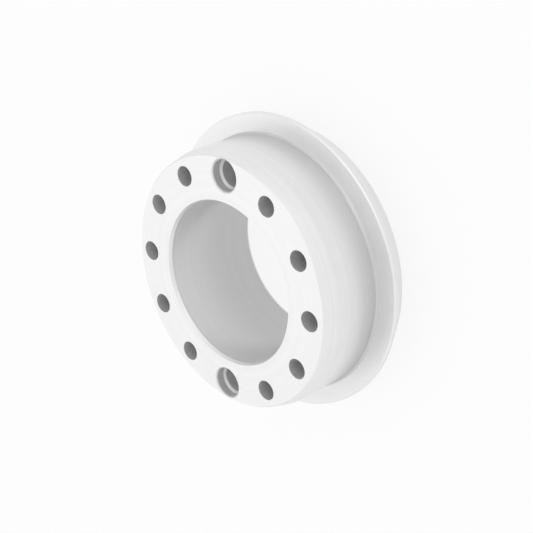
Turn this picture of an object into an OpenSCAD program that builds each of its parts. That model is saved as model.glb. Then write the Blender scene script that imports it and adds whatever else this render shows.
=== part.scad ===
// Companion flange: one turned and drilled steel piece. A drive-shaft flange bolts to the nose face,
// the thin rim and the body behind it carry the back end, and a plain bore runs right through.
// Millimetres. It rests on its back face at z = 0, with the bore axis along +Z and the nose on top.

/* [Bore] */
// Diameter of the plain through-bore
bore_d = 97; // [80:0.5:100]
// Length of the lead-in at the bore's nose end, along the axis
nose_lead_l = 2; // [0.5:0.25:4]
// Length of the lead-in at its back end
back_lead_l = 1.7; // [0.5:0.1:4]
// Width of both lead-ins, measured outwards
bore_lead_w = 1; // [0.25:0.25:2]

/* [Nose] */
// Length from the nose face back to the front of the rim
nose_l = 41; // [34:0.5:60]
// Metal left on the nose face outside a stepped hole's mouth, up to the nose's largest radius
nose_land = 0.25; // [0.1:0.05:4]
// Chamfer round the nose face
nose_chamfer = 0.75; // [0.25:0.05:2]
// How far the cone behind the nose face widens, on the radius
cone_rise = 2.25; // [0.5:0.25:4]
// Angle of that cone to the axis
cone_angle = 15; // [10:1:30]
// Radius of the blend from the neck into the rim's face
root_r = 2; // [1:0.25:5]

/* [Rim] */
// Outside diameter of the thin rim
rim_d = 179.5; // [178:0.5:200]
// Thickness of the rim
rim_t = 3; // [2:0.25:8]
// Chamfer on the rim's front edge
rim_chamfer = 0.7; // [0.2:0.1:1.5]

/* [Back end] */
// Diameter of the body behind the rim
back_d = 164; // [150:0.5:174]
// Thickness of that body
back_t = 13.2; // [8:0.2:24]
// Chamfer on the body's back edge
back_chamfer = 0.5; // [0.2:0.1:1.5]
// Diameter of the centring spigot at the very back
spigot_d = 140; // [110:0.5:148]
// Height of that spigot
spigot_h = 8.6; // [3:0.2:12]
// Chamfer on the spigot's edge
spigot_chamfer = 1.2; // [0.2:0.1:2]

/* [Holes in the nose face] */
// Diameter of the circle that every hole stands on
bolt_circle_d = 130; // [124:0.5:140]
// Places round that circle; two opposite ones take a stepped hole, the rest a screw hole
hole_places = 12; // [6:2:14]
// Diameter of a screw hole, the nominal size of its thread
screw_d = 12; // [8:0.5:14]
// Depth of a screw hole at full diameter
screw_depth = 28; // [14:1:40]
// Diameter of the seat in a stepped hole
seat_d = 18.5; // [17.5:0.25:20]
// Depth of that seat from the nose face
seat_depth = 5.5; // [3:0.25:10]
// Chamfer at the seat's mouth
seat_chamfer = 0.75; // [0.25:0.05:1]
// Diameter of a stepped hole below its seat
dowel_d = 16; // [12:0.25:17]
// Depth of that lower part from the nose face, at full diameter
dowel_depth = 26; // [16:1:40]
// Point angle of the drills
drill_point = 118; // [90:1:140]

/* [Hidden] */
$fn = 128;

bore_r = bore_d / 2;
bolt_r = bolt_circle_d / 2;
seat_mouth_r = seat_d / 2 + seat_chamfer;
nose_r = bolt_r + seat_mouth_r + nose_land;
neck_r = nose_r + cone_rise;
cone_l = cone_rise / tan(cone_angle);
rim_r = rim_d / 2;
back_r = back_d / 2;
spigot_r = spigot_d / 2;

// heights, from the back face upwards
back_z = spigot_h;
rim_z = back_z + back_t;
rim_face_z = rim_z + rim_t;
top_z = rim_face_z + nose_l;

// how far a cutter stands clear of the face that it starts from
clear = 1;

// Half section of the turned body, radius across and height up
module turned_section() {
    polygon([
        [bore_r, back_lead_l],
        [bore_r + bore_lead_w, 0],
        [spigot_r - spigot_chamfer, 0],
        [spigot_r, spigot_chamfer],
        [spigot_r, back_z],
        [back_r - back_chamfer, back_z],
        [back_r, back_z + back_chamfer],
        [back_r, rim_z],
        [rim_r, rim_z],
        [rim_r, rim_face_z - rim_chamfer],
        [rim_r - rim_chamfer, rim_face_z],
        [neck_r, rim_face_z],
        [neck_r, top_z - nose_chamfer - cone_l],
        [nose_r, top_z - nose_chamfer],
        [nose_r - nose_chamfer, top_z],
        [bore_r + bore_lead_w, top_z],
        [bore_r, top_z - nose_lead_l],
    ]);
    root_fillet();
}

// The concave blend between the neck and the rim's face
module root_fillet() {
    difference() {
        translate([neck_r - root_r, rim_face_z - rim_t / 2])
            square([2 * root_r, root_r + rim_t / 2]);
        translate([neck_r + root_r, rim_face_z + root_r])
            circle(r = root_r);
    }
}

// A drilled hole: full diameter down to its depth, then the drill's point
module drilled(d, depth) {
    rotate_extrude()
        polygon([
            [0, clear],
            [d / 2, clear],
            [d / 2, -depth],
            [0, -depth - d / 2 / tan(drill_point / 2)],
        ]);
}

// A stepped hole: chamfered mouth, seat, 45 degree shoulder, then the narrower drilled part
module stepped() {
    rotate_extrude()
        polygon([
            [0, clear],
            [seat_mouth_r + clear, clear],
            [seat_d / 2, -seat_chamfer],
            [seat_d / 2, -seat_depth],
            [dowel_d / 2, -seat_depth - (seat_d - dowel_d) / 2],
            [dowel_d / 2, -dowel_depth],
            [0, -dowel_depth - dowel_d / 2 / tan(drill_point / 2)],
        ]);
}

// Every hole of the nose face, the two stepped ones at +Y and -Y
module nose_holes() {
    for (i = [0 : hole_places - 1])
        rotate([0, 0, 90 + i * 360 / hole_places])
            translate([bolt_r, 0, top_z])
                if (i % (hole_places / 2) == 0) stepped();
                else drilled(screw_d, screw_depth);
}

module flange_body() {
    color([0.86, 0.86, 0.87])
        difference() {
            rotate_extrude() turned_section();
            nose_holes();
        }
}

flange_body();
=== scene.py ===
import math

import bpy
from mathutils import Matrix, Vector


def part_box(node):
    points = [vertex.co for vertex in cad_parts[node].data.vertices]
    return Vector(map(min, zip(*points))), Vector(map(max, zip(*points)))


# Companion flange: the turned and drilled steel body, its finish, and a plain pale studio.
# Metres throughout. The part lies on its back face, with the bore axis along +Z and the nose on top.

bl_info = {
    "name": "Companion Flange",
    "version": (1, 0, 0),
    "blender": (4, 5, 0),
    "location": "View3D > Sidebar > Flange",
    "description": "Finishes a turned steel companion flange and sets it in a pale studio",
    "category": "Object",
}

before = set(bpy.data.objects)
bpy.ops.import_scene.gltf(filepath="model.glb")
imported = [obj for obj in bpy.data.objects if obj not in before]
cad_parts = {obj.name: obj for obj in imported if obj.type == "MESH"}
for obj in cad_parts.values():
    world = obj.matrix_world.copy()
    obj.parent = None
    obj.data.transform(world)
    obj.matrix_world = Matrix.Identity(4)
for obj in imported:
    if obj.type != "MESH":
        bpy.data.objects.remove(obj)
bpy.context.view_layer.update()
BODY = "flange_body"
# Height of the nose face.
NOSE_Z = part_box(BODY)[1][2]

# The solid's own sizes, where the finish and its painted shade change: the bore, the neck's root in the
# turned section, and the ring of holes in the nose face.
BORE_R = 0.0485
ROOT_R, ROOT_Z = 0.0775, 0.0248
HOLE_PLACES = 12
BOLT_R = 0.065
SCREW_R = 0.006
# Radius of a stepped hole's chamfered mouth.
MOUTH_R = 0.01
# Every one of the holes ends above this height.
HOLES_ABOVE = 0.030
# How far the finish of a wall reaches past it.
WALL_MARGIN = 0.0001

# The rings that the tool leaves are drawn along radius plus this share of height, so that they
# cross flat faces, walls and the cone alike.
RING_HEIGHT_SHARE = 0.62
# Width of the mottling, and how fine the rings, bands and mottling are broken up.
MOTTLE_PITCH = 0.022
RING_DETAIL, BAND_DETAIL, MOTTLE_DETAIL = 2.0, 3.0, 4.0
# What a drilled wall, the mottling and the bands add to the roughness.
HOLE_ROUGHER, MOTTLE_ROUGHER, BAND_ROUGHER = 0.12, 0.16, 0.12

# Colour of the floor and backdrop in the room's light, and the sides of the round backdrop.
STUDIO_PALE = (0.9, 0.9, 0.9, 1.0)
BACKDROP_SIDES = 128
WHITE = (1.0, 1.0, 1.0, 1.0)
# The camera's sensor in millimetres, and the nearest and farthest that it sees.
SENSOR_WIDTH = 36.0
SEEN_FROM, SEEN_TO = 0.01, 50.0


class FlangeSteel(bpy.types.PropertyGroup):
    """The steel's colour, the marks that the tools left on it, and the painted shade in its holes, bore
    and neck's root.
    """

    colour: bpy.props.FloatVectorProperty(
        name="Steel colour", description="Colour of the clean turned steel",
        subtype="COLOR", size=3, min=0.0, max=1.0, default=(0.88, 0.88, 0.885))
    metallic: bpy.props.FloatProperty(
        name="Metallic", description="Share of metal in the surface",
        subtype="FACTOR", min=0.0, max=1.0, default=0.65)
    roughness: bpy.props.FloatProperty(
        name="Roughness", description="How matt the turned faces are",
        subtype="FACTOR", min=0.0, max=1.0, default=0.44)
    bore_roughness: bpy.props.FloatProperty(
        name="Bore roughness", description="How matt the fine-bored wall is",
        subtype="FACTOR", min=0.0, max=1.0, default=0.36)
    # Painted shade: darkens the colour of the holes' walls, where shade falls in them; their rougher
    # finish is real.
    hole_painted_shade: bpy.props.FloatProperty(
        name="Hole shade", description="Brightness of a drilled wall beside that of a turned face",
        subtype="FACTOR", min=0.0, max=1.0, default=0.85)
    # Painted shade: darkens the steel's colour deeper in the bore, where shade falls.
    bore_painted_shade: bpy.props.FloatProperty(
        name="Bore film", description="How much the oil film deep in the bore darkens the steel",
        subtype="FACTOR", min=0.0, max=1.0, default=0.26)
    bore_painted_reach: bpy.props.FloatProperty(
        name="Bore film depth", description="Depth from the nose face at which that film is full",
        unit="LENGTH", default=0.045)
    # Painted shade: darkens the steel's colour around the neck's root, in the corner where shade falls.
    root_painted_shade: bpy.props.FloatProperty(
        name="Root film", description="How much the oil film in the neck's root darkens the steel",
        subtype="FACTOR", min=0.0, max=1.0, default=0.24)
    root_painted_reach: bpy.props.FloatProperty(
        name="Root film reach", description="How far that film reaches from the root",
        unit="LENGTH", default=0.027)
    ring_pitch: bpy.props.FloatProperty(
        name="Ring pitch", description="Width of the tool's finest rings",
        unit="LENGTH", default=0.0006)
    band_pitch: bpy.props.FloatProperty(
        name="Band pitch", description="Width of the broader bands among the rings",
        unit="LENGTH", default=0.0035)
    ring_depth: bpy.props.FloatProperty(
        name="Ring depth", description="Depth of the rings", unit="LENGTH", default=0.00004)
    tone_spread: bpy.props.FloatProperty(
        name="Tone spread", description="How much the steel's brightness varies over the part",
        subtype="FACTOR", min=0.0, max=1.0, default=0.09)


class FlangeStage(bpy.types.PropertyGroup):
    """The camera, the light, the floor and the backdrop."""

    lens: bpy.props.FloatProperty(
        name="Lens", description="Focal length, in millimetres", default=75.08)
    aim_height: bpy.props.FloatProperty(
        name="Aim height", description="Height of the point on the bore axis that the camera aims at",
        unit="LENGTH", default=0.0329)
    distance: bpy.props.FloatProperty(
        name="Distance", description="From that point to the camera", unit="LENGTH", default=0.6513)
    turn: bpy.props.FloatProperty(
        name="Turn", description="Angle between the view and the bore axis, seen from +Y",
        subtype="ANGLE", default=math.radians(45))
    tilt: bpy.props.FloatProperty(
        name="Tilt", description="Angle of the view towards +Y",
        subtype="ANGLE", default=math.radians(25))
    floor_size: bpy.props.FloatProperty(
        name="Floor size", description="Width of the floor", unit="LENGTH", default=12.0)
    wall_height: bpy.props.FloatProperty(
        name="Backdrop height", description="Height of the round backdrop", unit="LENGTH", default=2.5)
    floor_white: bpy.props.FloatProperty(
        name="Floor white", description="Share of plain white that the floor shows near the part",
        subtype="FACTOR", min=0.0, max=1.0, default=0.85)
    shadow_reach: bpy.props.FloatProperty(
        name="Shadow reach", description="Distance at which the floor shows plain white alone",
        unit="LENGTH", default=1.0)
    room_light: bpy.props.FloatProperty(
        name="Room light", description="Strength of the even light from the room",
        min=0.0, default=0.66)
    lamp_distance: bpy.props.FloatProperty(
        name="Lamp distance", description="From the part to each lamp", unit="LENGTH", default=1.6)
    lamp_size: bpy.props.FloatProperty(
        name="Lamp size", description="Width of each round lamp", unit="LENGTH", default=2.1)


# Each lamp: its name, after its side of the picture, its height above the floor and its heading
# from +X towards +Y, in degrees, and its level. A small lamp of level 1 lights a face turned to it
# as a plain white room does, and a wide one lights it somewhat less.
LAMPS = (
    ("left_lamp", 68, 180, 0.22),
    ("low_lamp", 34, 225, 0.12),
    ("top_lamp", 34, 90, 0.11),
    ("right_lamp", 34, 45, 0.20),
    ("side_lamp", 34, 315, 0.12),
)


def wire(tree, kind, *values, **settings):
    """Adds a node, with its settings, and feeds its inputs in order with links or constants."""
    node = tree.nodes.new(kind)
    for name, value in settings.items():
        setattr(node, name, value)
    for socket, value in zip(node.inputs, values):
        if isinstance(value, bpy.types.NodeSocket):
            tree.links.new(value, socket)
        elif value is not None:
            socket.default_value = value
    return node


def sums(tree, operation, *values):
    """One Math node's result."""
    return wire(tree, "ShaderNodeMath", *values, operation=operation).outputs[0]


def ramp(tree, value, start, end, low, high):
    """Value from start to end becomes low to high, eased at both ends."""
    return wire(tree, "ShaderNodeMapRange", value, start, end, low, high,
                interpolation_type="SMOOTHSTEP").outputs[0]


def grain(tree, pitch, detail, vector=None, along=None):
    """A noise from 0 to 1 whose features are about pitch wide, in space or along one value."""
    node = tree.nodes.new("ShaderNodeTexNoise")
    if vector is None:
        node.noise_dimensions = "1D"
        tree.links.new(along, node.inputs["W"])
    else:
        node.noise_dimensions = "3D"
        tree.links.new(vector, node.inputs["Vector"])
    node.inputs["Scale"].default_value = 1.0 / pitch
    node.inputs["Detail"].default_value = detail
    return node.outputs["Fac"]


def seen_white(tree):
    """1 for rays that show the background: from the camera, a reflection or through glass."""
    rays = tree.nodes.new("ShaderNodeLightPath").outputs
    seen = sums(tree, "MAXIMUM", rays["Is Camera Ray"], rays["Is Glossy Ray"])
    return sums(tree, "MAXIMUM", seen, rays["Is Transmission Ray"])


def hole_mask(tree, across, up, radius, height):
    """1 on the walls of the holes in the nose face, and 0 elsewhere on the part.

    A sliver of the nose chamfer beside each stepped hole counts as its wall.
    """
    turn = sums(tree, "ARCTAN2", up, across)
    step = 2 * math.pi / HOLE_PLACES
    place = sums(tree, "ROUND", sums(tree, "DIVIDE", turn, step))
    off = sums(tree, "SUBTRACT", turn, sums(tree, "MULTIPLY", place, step))
    # from the axis of this sector's hole: along the ring's radius, and across it
    out = sums(tree, "SUBTRACT", sums(tree, "MULTIPLY", radius, sums(tree, "COSINE", off)), BOLT_R)
    side = sums(tree, "MULTIPLY", radius, sums(tree, "SINE", off))
    from_axis = sums(tree, "SQRT", sums(tree, "ADD", sums(tree, "MULTIPLY", out, out),
                                        sums(tree, "MULTIPLY", side, side)))
    # the stepped holes stand at +Y and -Y, where the place is a quarter of the ring either way
    stepped = sums(tree, "COMPARE", sums(tree, "ABSOLUTE", place), HOLE_PLACES / 4, 0.5)
    wall = sums(tree, "MULTIPLY_ADD", stepped, MOUTH_R - SCREW_R, SCREW_R + WALL_MARGIN)
    inside = sums(tree, "LESS_THAN", from_axis, wall)
    below = sums(tree, "LESS_THAN", height, NOSE_Z - WALL_MARGIN)
    above = sums(tree, "GREATER_THAN", height, HOLES_ABOVE)
    return sums(tree, "MULTIPLY", inside, sums(tree, "MULTIPLY", below, above))


def turned_steel(steel):
    """Pale satin steel: tool rings, and painted shade on the drilled walls, in the neck's root and deep
    in the bore.
    """
    material = bpy.data.materials.new("turned_steel")
    material.use_nodes = True
    tree = material.node_tree
    shader = tree.nodes["Principled BSDF"]
    place = tree.nodes.new("ShaderNodeTexCoord").outputs["Object"]
    across, up, height = wire(tree, "ShaderNodeSeparateXYZ", place).outputs
    flat = wire(tree, "ShaderNodeVectorMath", place, (1.0, 1.0, 0.0), operation="MULTIPLY")
    radius = wire(tree, "ShaderNodeVectorMath", flat.outputs[0], operation="LENGTH").outputs["Value"]

    along = sums(tree, "MULTIPLY_ADD", height, RING_HEIGHT_SHARE, radius)
    rings = grain(tree, steel.ring_pitch, RING_DETAIL, along=along)
    bands = grain(tree, steel.band_pitch, BAND_DETAIL, along=along)
    mottle = grain(tree, MOTTLE_PITCH, MOTTLE_DETAIL, vector=place)
    holes = hole_mask(tree, across, up, radius, height)
    bore = sums(tree, "LESS_THAN", radius, BORE_R + WALL_MARGIN)

    # painted shade in the neck's root: darkest at the root, it fades with the distance from it, and
    # isn't on the rim's face
    root_out = sums(tree, "SUBTRACT", radius, ROOT_R)
    root_up = sums(tree, "SUBTRACT", height, ROOT_Z)
    from_root = sums(tree, "SQRT", sums(tree, "ADD", sums(tree, "MULTIPLY", root_out, root_out),
                                        sums(tree, "MULTIPLY", root_up, root_up)))
    painted_shade = ramp(tree, from_root, 0.0, steel.root_painted_reach, 1.0 - steel.root_painted_shade, 1.0)
    on_rim = sums(tree, "LESS_THAN", height, ROOT_Z + WALL_MARGIN)
    painted_shade = sums(tree, "MAXIMUM", painted_shade, on_rim)

    # painted shade in the bore, darker with depth
    deep = ramp(tree, height, NOSE_Z - steel.bore_painted_reach, NOSE_Z, 1.0, 0.0)
    painted_depth_shade = sums(tree, "MULTIPLY_ADD", sums(tree, "MULTIPLY", bore, deep), -steel.bore_painted_shade, 1.0)
    painted_shade = sums(tree, "MULTIPLY", painted_shade, painted_depth_shade)

    # brightness: rings, bands and mottling vary it a little, and the painted shade in the root, the
    # bore and the holes lowers it
    spread = steel.tone_spread
    tone = sums(tree, "MULTIPLY_ADD", bands, spread, 1.0 - spread)
    for share in (sums(tree, "MULTIPLY_ADD", mottle, spread, 1.0 - spread / 2),
                  sums(tree, "MULTIPLY_ADD", rings, spread, 1.0 - spread / 2),
                  painted_shade,
                  sums(tree, "MULTIPLY_ADD", holes, steel.hole_painted_shade - 1.0, 1.0)):
        tone = sums(tree, "MULTIPLY", tone, share)
    colour = wire(tree, "ShaderNodeVectorMath", tuple(steel.colour), operation="SCALE")
    tree.links.new(tone, colour.inputs["Scale"])
    tree.links.new(colour.outputs[0], shader.inputs["Base Color"])
    shader.inputs["Metallic"].default_value = steel.metallic

    # the bore is finer than the turned faces, and a drilled wall is coarser
    finer = steel.bore_roughness - steel.roughness
    rough = sums(tree, "MULTIPLY_ADD", bore, finer, steel.roughness)
    rough = sums(tree, "MULTIPLY_ADD", holes, HOLE_ROUGHER, rough)
    rough = sums(tree, "MULTIPLY_ADD", sums(tree, "SUBTRACT", mottle, 0.5), MOTTLE_ROUGHER, rough)
    rough = sums(tree, "MULTIPLY_ADD", sums(tree, "SUBTRACT", bands, 0.5), BAND_ROUGHER, rough)
    tree.links.new(rough, shader.inputs["Roughness"])

    relief = tree.nodes.new("ShaderNodeBump")
    relief.inputs["Strength"].default_value = 1.0
    relief.inputs["Distance"].default_value = steel.ring_depth
    tree.links.new(sums(tree, "ADD", rings, bands), relief.inputs["Height"])
    tree.links.new(relief.outputs["Normal"], shader.inputs["Normal"])
    return material


def studio_white(name, near_share, stage):
    """Pale matt surface that shows a share of plain white near the part, and white alone far off."""
    material = bpy.data.materials.new(name)
    material.use_nodes = True
    tree = material.node_tree
    tree.nodes.clear()
    matt = wire(tree, "ShaderNodeBsdfDiffuse", STUDIO_PALE)
    white = wire(tree, "ShaderNodeEmission", WHITE, 1.0)
    place = tree.nodes.new("ShaderNodeTexCoord").outputs["Object"]
    away = wire(tree, "ShaderNodeVectorMath", place, operation="LENGTH").outputs["Value"]
    share = ramp(tree, away, stage.shadow_reach / 2, stage.shadow_reach, near_share, 1.0)
    share = sums(tree, "MULTIPLY", seen_white(tree), share)
    both = wire(tree, "ShaderNodeMixShader", share, matt.outputs[0], white.outputs[0])
    wire(tree, "ShaderNodeOutputMaterial", both.outputs[0])
    return material


def add_wall(stage):
    """A round backdrop at the floor's edge, so that a low view ends in white too."""
    bpy.ops.mesh.primitive_cylinder_add(
        vertices=BACKDROP_SIDES, radius=stage.floor_size / 2, depth=stage.wall_height,
        end_fill_type="NOTHING", location=(0, 0, stage.wall_height / 2))
    wall = bpy.context.object
    wall.name = "backdrop"
    wall.data.materials.append(studio_white("studio_wall", 1.0, stage))


def add_room(stage):
    """Even light all round."""
    world = bpy.data.worlds.new("studio")
    world.use_nodes = True
    background = world.node_tree.nodes["Background"]
    background.inputs["Color"].default_value = WHITE
    background.inputs["Strength"].default_value = stage.room_light
    bpy.context.scene.world = world


def add_lamp(stage, name, height, heading, level):
    """A round soft lamp that looks at the middle of the part."""
    high, head = math.radians(height), math.radians(heading)
    towards = Vector((math.cos(high) * math.cos(head), math.cos(high) * math.sin(head),
                      math.sin(high)))
    data = bpy.data.lights.new(name, "AREA")
    data.shape = "DISK"
    data.size = stage.lamp_size
    data.energy = level * math.pi ** 2 * stage.lamp_distance ** 2
    lamp = bpy.data.objects.new(name, data)
    bpy.context.scene.collection.objects.link(lamp)
    lamp.location = Vector((0, 0, stage.aim_height)) + towards * stage.lamp_distance
    lamp.rotation_euler = towards.to_track_quat("Z", "Y").to_euler()


def add_camera(stage):
    """Looks at the bore axis, turned from it about Y, then lifted towards +Y, up in the picture."""
    back = Vector((math.cos(stage.tilt) * math.sin(stage.turn), math.sin(stage.tilt),
                   math.cos(stage.tilt) * math.cos(stage.turn)))
    right = Vector((math.cos(stage.turn), 0.0, -math.sin(stage.turn)))
    up = back.cross(right)
    data = bpy.data.cameras.new("camera")
    data.sensor_width = SENSOR_WIDTH
    data.lens = stage.lens
    data.clip_start, data.clip_end = SEEN_FROM, SEEN_TO
    camera = bpy.data.objects.new("camera", data)
    bpy.context.scene.collection.objects.link(camera)
    turned = Matrix((right, up, back)).transposed().to_4x4()
    place = Vector((0, 0, stage.aim_height)) + back * stage.distance
    camera.matrix_world = Matrix.Translation(place) @ turned
    bpy.context.scene.camera = camera


class FLANGE_OT_finish_steel(bpy.types.Operator):
    """Gives the flange body its turned steel finish, with painted shade in its holes, bore and neck's
    root
    """

    bl_idname = "flange.finish_steel"
    bl_label = "Finish the steel"

    def execute(self, context):
        material = turned_steel(context.scene.flange_steel)
        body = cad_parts[BODY]
        for slot in body.material_slots:
            slot.material = material
        return {"FINISHED"}


class FLANGE_OT_build_stage(bpy.types.Operator):
    """Adds the floor, the backdrop, the room's light, the lamps and the camera"""

    bl_idname = "flange.build_stage"
    bl_label = "Build the stage"

    def execute(self, context):
        stage = context.scene.flange_stage
        bpy.ops.object.select_all(action="DESELECT")
        bpy.ops.mesh.primitive_plane_add(size=stage.floor_size, location=(0, 0, 0))
        floor = context.object
        floor.name = "floor"
        floor.data.materials.append(studio_white("studio_floor", stage.floor_white, stage))
        add_wall(stage)
        add_room(stage)
        for lamp in LAMPS:
            add_lamp(stage, *lamp)
        add_camera(stage)
        context.scene.view_settings.view_transform = "Standard"
        return {"FINISHED"}


class FLANGE_PT_panel(bpy.types.Panel):
    """Lists the flange's values and the operators that make it"""

    bl_idname = "FLANGE_PT_panel"
    bl_label = "Companion flange"
    bl_space_type = "VIEW_3D"
    bl_region_type = "UI"
    bl_category = "Flange"

    def draw(self, context):
        for group, operator in (("flange_steel", "flange.finish_steel"),
                                ("flange_stage", "flange.build_stage")):
            box = self.layout.box()
            values = getattr(context.scene, group)
            for name in values.bl_rna.properties.keys():
                if name not in ("rna_type", "name"):
                    box.prop(values, name)
            box.operator(operator)


CLASSES = (FlangeSteel, FlangeStage, FLANGE_OT_finish_steel, FLANGE_OT_build_stage, FLANGE_PT_panel)


def register():
    for cls in CLASSES:
        bpy.utils.register_class(cls)
    bpy.types.Scene.flange_steel = bpy.props.PointerProperty(type=FlangeSteel)
    bpy.types.Scene.flange_stage = bpy.props.PointerProperty(type=FlangeStage)


def unregister():
    del bpy.types.Scene.flange_stage
    del bpy.types.Scene.flange_steel
    for cls in reversed(CLASSES):
        bpy.utils.unregister_class(cls)


def main():
    register()
    bpy.ops.flange.finish_steel()
    bpy.ops.flange.build_stage()


if __name__ == "__main__":
    main()
